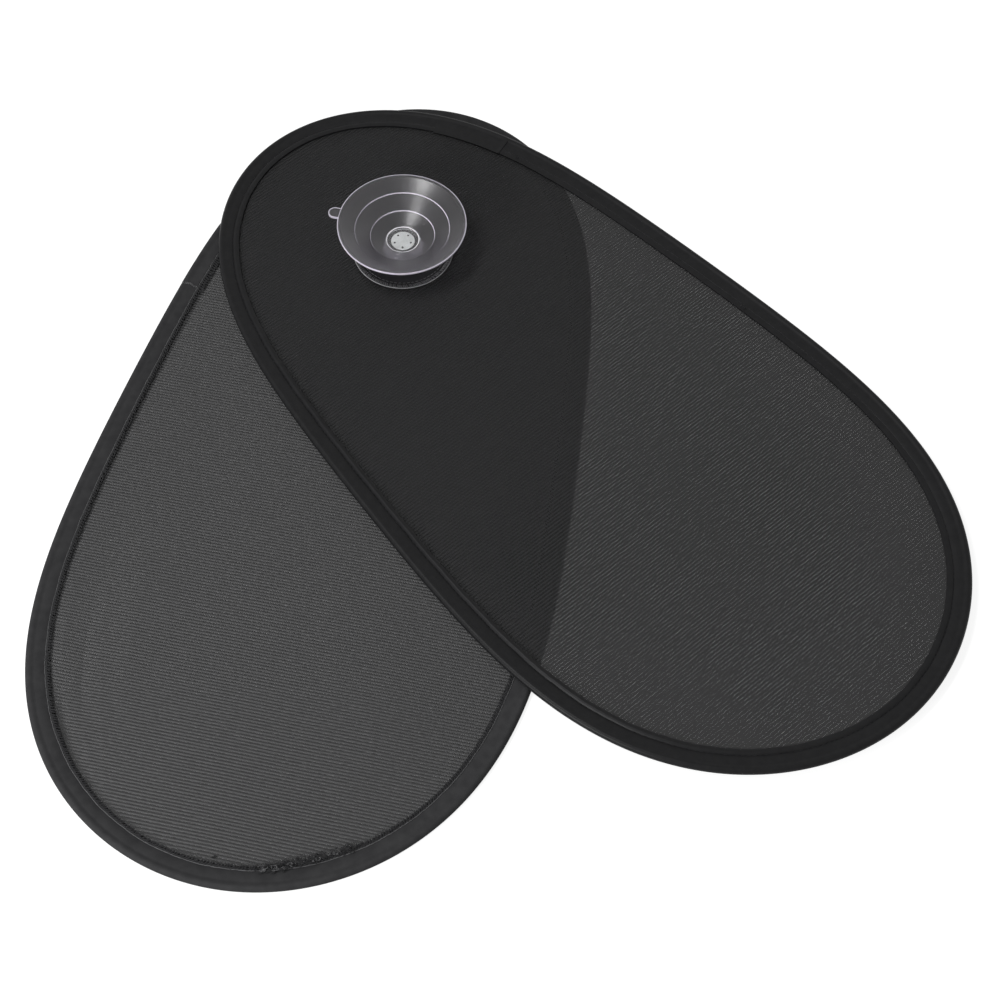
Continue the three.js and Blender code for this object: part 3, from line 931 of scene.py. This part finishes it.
def cup_profile():
    top = CUP_HIGH.z
    foot = CUP_LOW.z
    floor = top - CUP_DEPTH
    (inner, inner_depth), (outer, outer_depth) = CUP_STEPS
    socket_top = floor - SOCKET_ROOF
    return [
        (0, socket_top),
        (SOCKET_RADIUS, socket_top),
        (SOCKET_RADIUS, foot + LIP_HEIGHT),
        (PIVOT_HOLE, foot + LIP_HEIGHT),
        (PIVOT_HOLE, foot),
        (NECK_FOOT, foot),
        (NECK_TOP, floor - CUP_WALL),
        (inner, top - inner_depth - CUP_STEP_RISE - CUP_WALL),
        (outer, top - outer_depth - CUP_STEP_RISE - CUP_WALL),
        (CUP_RADIUS, top - RIM_THICKNESS),
        (CUP_RADIUS, top),
        (CUP_RADIUS - EDGE_BAND, top),
        (CUP_RADIUS - RIM_LAND, top),
        (outer, top - outer_depth),
        (outer, top - outer_depth - CUP_STEP_RISE),
        (inner, top - inner_depth),
        (inner, top - inner_depth - CUP_STEP_RISE),
        (CUP_FLOOR_RADIUS, floor),
        (0, floor),
    ]


def tab_object():
    root = CUP_RADIUS - RIM_LAND
    end = CUP_RADIUS + TAB_REACH - TAB_WIDTH / 2

    def ring(half, height):
        round_end = [(end + half * math.cos(a), half * math.sin(a), height)
                     for a in np.linspace(-math.pi / 2, math.pi / 2, 17)]
        return [(root, -half, height)] + round_end + [(root, half, height)]

    half = TAB_WIDTH / 2
    points = ring(half, -TAB_THICKNESS) + ring(half, 0) + ring(half - EDGE_BAND, 0)
    count = len(points) // 3
    faces = [tuple(reversed(range(count))), tuple(range(2 * count, 3 * count))]
    faces += [(k, k + 1, count + k + 1, count + k) for k in range(2 * count) if (k + 1) % count]
    faces.append((count - 1, 0, count, 2 * count, 3 * count - 1, 2 * count - 1))
    mesh = bpy.data.meshes.new("tab")
    mesh.from_pydata(points, [], faces)
    made = bpy.data.objects.new("tab", mesh)
    bpy.context.scene.collection.objects.link(made)
    place = Matrix.Translation((PIVOT.x, PIVOT.y, CUP_HIGH.z))
    made.matrix_world = place @ Matrix.Rotation(TAB_ANGLE, 4, "Z")
    return made


def suction_cup():
    points, faces = turned(filleted(cup_profile(), CUP_FILLET), 128)
    points = points + np.array([PIVOT.x, PIVOT.y, 0])
    made = piece("suction_cup_clear", [(points, faces)], "suction_cup", VINYL)
    cleaned(made)
    combined(made, tab_object(), "UNION")
    painted_edge_highlights(made)
    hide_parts("suction_cup")
    return made


def on_ring(aside, depth, radius, below):
    """Whether a place of the cup is by the ring of a radius and a depth below the rim."""
    return abs(aside - radius) < RING_ASIDE and abs(depth - below) < RING_BELOW


def painted_edge_highlights(made):
    """The rim, the two steps and the tab's edge get a pale opaque finish, and two rings at the hub a paler
    one: painted highlights for the glints on clear vinyl's edges. The hub's floor and neck get a paler,
    smoother copy of the vinyl: painted light.
    """
    made.data.materials.append(VINYL_EDGE_PAINTED_HIGHLIGHT)
    made.data.materials.append(VINYL_HUB_PAINTED_LIGHT)
    made.data.materials.append(HUB_EDGE_PAINTED_HIGHLIGHT)
    to_tab = Matrix.Rotation(-TAB_ANGLE, 3, "Z")
    tab_end = CUP_RADIUS + TAB_REACH - TAB_WIDTH / 2
    hub_rings = ((CUP_FLOOR_RADIUS, CUP_DEPTH), (NECK_FOOT, CUP_HIGH.z - CUP_LOW.z))
    for face in made.data.polygons:
        place = to_tab @ Vector((face.center.x - PIVOT.x, face.center.y - PIVOT.y, 0))
        aside = place.length
        depth = CUP_HIGH.z - face.center.z
        from_tab = math.hypot(max(place.x - tab_end, 0), place.y)
        on_rim = CUP_RADIUS - EDGE_BAND < aside < CUP_RADIUS + NEARLY
        on_tab = aside > CUP_RADIUS and from_tab > TAB_WIDTH / 2 - EDGE_BAND
        on_step = any(on_ring(aside, depth, *step) for step in CUP_STEPS)
        on_hub = any(on_ring(aside, depth, *ring) for ring in hub_rings)
        if (on_rim or on_tab) and depth < RIM_THICKNESS or on_step:
            face.material_index = 1
        elif on_hub:
            face.material_index = 3
        elif aside < NECK_FOOT + NEARLY and depth > CUP_DEPTH - NEARLY:
            face.material_index = 2


HEAD_RADIUS = 5.6 * MM
HEAD_THICKNESS = 1.5 * MM
HEAD_HOLES = 5
HEAD_HOLE_RADIUS = 0.5 * MM
HEAD_HOLE_CIRCLE = 4 * MM
HEAD_HOLE_DEPTH = 1 * MM
HEAD_HOLE_START = math.radians(-104.25)
SHANK_RADIUS = 3 * MM
SHANK_BORE = 1.6 * MM
SHANK_BORE_DEPTH = 3.5 * MM
CAP_THICKNESS = 0.4 * MM
CAP_PEG = 1.3 * MM


def pin_object(place, radius, height):
    angles = 2 * np.pi * np.arange(20) / 20
    ring = [(place[0] + radius * math.cos(a), place[1] + radius * math.sin(a)) for a in angles]
    count = len(ring)
    points = [(x, y, place[2] + dz) for dz in (-height, height) for x, y in ring]
    faces = [tuple(reversed(range(count))), tuple(range(count, 2 * count))]
    faces += [(k, (k + 1) % count, count + (k + 1) % count, count + k) for k in range(count)]
    mesh = bpy.data.meshes.new("pin")
    mesh.from_pydata(points, [], faces)
    made = bpy.data.objects.new("pin", mesh)
    bpy.context.scene.collection.objects.link(made)
    return made


def rivet():
    low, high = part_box("pivot_rivet")
    base = high.z - HEAD_THICKNESS
    bore_top = low.z + SHANK_BORE_DEPTH
    profile = [
        (0, bore_top),
        (SHANK_BORE, bore_top),
        (SHANK_BORE, low.z),
        (SHANK_RADIUS, low.z),
        (SHANK_RADIUS, base),
        (HEAD_RADIUS, base),
        (HEAD_RADIUS, high.z),
        (0, high.z),
    ]
    made = turned_piece("rivet_stud", "pivot_rivet", profile, 96, "rear_panel", NYLON,
                        fillet=0.35 * MM)
    for k in range(HEAD_HOLES):
        angle = HEAD_HOLE_START + 2 * math.pi * k / HEAD_HOLES
        x = PIVOT.x + HEAD_HOLE_CIRCLE * math.cos(angle)
        y = PIVOT.y + HEAD_HOLE_CIRCLE * math.sin(angle)
        combined(made, pin_object((x, y, high.z), HEAD_HOLE_RADIUS, HEAD_HOLE_DEPTH), "DIFFERENCE")
    # The holes' walls and floors are painted dark: painted shade in the recesses
    made.data.materials.append(RECESS_PAINTED_SHADE)
    for face in made.data.polygons:
        aside = math.hypot(face.center.x - PIVOT.x, face.center.y - PIVOT.y)
        in_hole = abs(aside - HEAD_HOLE_CIRCLE) < 1.1 * HEAD_HOLE_RADIUS
        if in_hole and high.z - 1.1 * HEAD_HOLE_DEPTH < face.center.z < high.z - NEARLY:
            face.material_index = 1
    return made


def rivet_cap():
    low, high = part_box("rivet_cap")
    radius = (high.x - low.x) / 2
    top = low.z + CAP_THICKNESS
    profile = [
        (0, low.z),
        (radius - CAP_THICKNESS, low.z),
        (radius, top),
        (CAP_PEG, top),
        (CAP_PEG, high.z),
        (0, high.z),
    ]
    return turned_piece("rivet_button", "rivet_cap", profile, 96, "rear_panel", NYLON,
                        fillet=0.15 * MM)


# Build

def build_panel(panel):
    cloth = knit(panel)
    tape = binding(panel)
    going_with = [tape, tape_lap(panel), overlock(panel), edge_line(panel), hem_stitches(panel)]
    going_with += [frays(panel), patch(panel), patch_overlock(panel)]
    going_with += [patch_edge_line(panel), patch_stitches(panel)]
    if panel is REAR:
        going_with += [lap_fringe(panel), painted_highlight_frays(panel)]


build_panel(REAR)
build_panel(FRONT)
suction_cup()
rivet()
rivet_cap()
washer("swivel_disc", "swivel_washer", NYLON)
washer("top_disc", "top_washer", CLEAR_NYLON)
for hoop in ("front_wire_hoop", "rear_wire_hoop"):
    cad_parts[hoop].data.materials.clear()
    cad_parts[hoop].data.materials.append(STEEL)


# Camera, light and floor
PHOTO_AZIMUTH = math.radians(-13.95)
LENS = 76.4
SENSOR_WIDTH = 36
CAMERA_PLACE = (45.4 * MM, -640.9 * MM, 773.8 * MM)
CAMERA_TARGET = (45.4 * MM, -139.6 * MM, 0)
LAMP_TARGET = (45 * MM, -140 * MM, 0)
KEY_PLACE = (-0.37, -0.18, 1.0)
KEY_RUN = (0.122, 0.291, 0.122)
SIDE_PLACE = (-0.52, -0.76, 0.38)
SIDE_RUN = (0, 0, 1)
AMBIENT = 0.3
FLOOR_SHADE = 0.3
FLOOR_GLOW = 0.86
FLOOR_HALF = 4


def photo_place(aside, along, above):
    """Place given in the photograph's own directions from the pivot, at the front mesh's height."""
    turned_place = Matrix.Rotation(PHOTO_AZIMUTH, 3, "Z") @ Vector((aside, along, above))
    return Vector((PIVOT.x, PIVOT.y, box_middle("front_mesh").z)) + turned_place


def make_camera():
    camera = bpy.data.objects.new("camera", bpy.data.cameras.new("camera"))
    bpy.context.scene.camera = camera
    bpy.context.scene.collection.objects.link(camera)
    camera.location = photo_place(*CAMERA_PLACE)
    target = photo_place(*CAMERA_TARGET)
    camera.rotation_euler = (target - camera.location).to_track_quat("-Z", "Y").to_euler()
    camera.data.lens = LENS
    camera.data.sensor_width = SENSOR_WIDTH
    camera.data.clip_start = 0.01
    camera.data.clip_end = 20


def area_lamp(name, place, width, length, run, power):
    """Rectangular lamp aimed at the middle of the product, its length along run."""
    data = bpy.data.lights.new(name, "AREA")
    data.shape = "RECTANGLE"
    data.size = width
    data.size_y = length
    data.energy = power
    lamp = bpy.data.objects.new(name, data)
    bpy.context.scene.collection.objects.link(lamp)
    back = (place - photo_place(*LAMP_TARGET)).normalized()
    run = photo_place(*run) - photo_place(0, 0, 0)
    run = (run - back * run.dot(back)).normalized()
    turn = Matrix((run.cross(back), run, back)).transposed()
    lamp.matrix_world = Matrix.Translation(place) @ turn.to_4x4()


def white_for_eye(tree):
    """1 for camera, mirror and see-through rays, and 0 for the light that falls on things."""
    path = tree.nodes.new("ShaderNodeLightPath")
    first = tree.nodes.new("ShaderNodeMath")
    first.operation = "MAXIMUM"
    second = tree.nodes.new("ShaderNodeMath")
    second.operation = "MAXIMUM"
    tree.links.new(path.outputs["Is Camera Ray"], first.inputs[0])
    tree.links.new(path.outputs["Is Glossy Ray"], first.inputs[1])
    tree.links.new(first.outputs[0], second.inputs[0])
    tree.links.new(path.outputs["Is Transmission Ray"], second.inputs[1])
    return second.outputs[0]


def scaled(tree, value, low, high):
    node = tree.nodes.new("ShaderNodeMapRange")
    node.inputs["To Min"].default_value = low
    node.inputs["To Max"].default_value = high
    tree.links.new(value, node.inputs["Value"])
    return node.outputs["Result"]


def make_world():
    world = bpy.data.worlds.new("studio")
    bpy.context.scene.world = world
    world.use_nodes = True
    background = world.node_tree.nodes["Background"]
    background.inputs["Color"].default_value = (1, 1, 1, 1)
    strength = scaled(world.node_tree, white_for_eye(world.node_tree), AMBIENT, 1.0)
    world.node_tree.links.new(strength, background.inputs["Strength"])


def make_floor():
    mesh = bpy.data.meshes.new("floor")
    corners = [(x * FLOOR_HALF, y * FLOOR_HALF, 0) for x, y in ((-1, -1), (1, -1), (1, 1), (-1, 1))]
    mesh.from_pydata(corners, [], [(0, 1, 2, 3)])
    floor = bpy.data.objects.new("floor", mesh)
    bpy.context.scene.collection.objects.link(floor)
    finish, tree, shader = material("floor_white")
    tree.nodes.remove(shader)
    diffuse = tree.nodes.new("ShaderNodeBsdfDiffuse")
    diffuse.inputs["Color"].default_value = (FLOOR_SHADE, FLOOR_SHADE, FLOOR_SHADE, 1)
    glow = tree.nodes.new("ShaderNodeEmission")
    tree.links.new(scaled(tree, white_for_eye(tree), 0, FLOOR_GLOW), glow.inputs["Strength"])
    both = tree.nodes.new("ShaderNodeAddShader")
    tree.links.new(diffuse.outputs[0], both.inputs[0])
    tree.links.new(glow.outputs[0], both.inputs[1])
    tree.links.new(both.outputs[0], tree.nodes["Material Output"].inputs["Surface"])
    mesh.materials.append(finish)


make_camera()
area_lamp("key", photo_place(*KEY_PLACE), width=0.2, length=0.45, run=KEY_RUN, power=5.5)
area_lamp("side", photo_place(*SIDE_PLACE), width=0.4, length=0.3, run=SIDE_RUN, power=6.5)
make_world()
make_floor()
bpy.context.scene.view_settings.view_transform = "Standard"
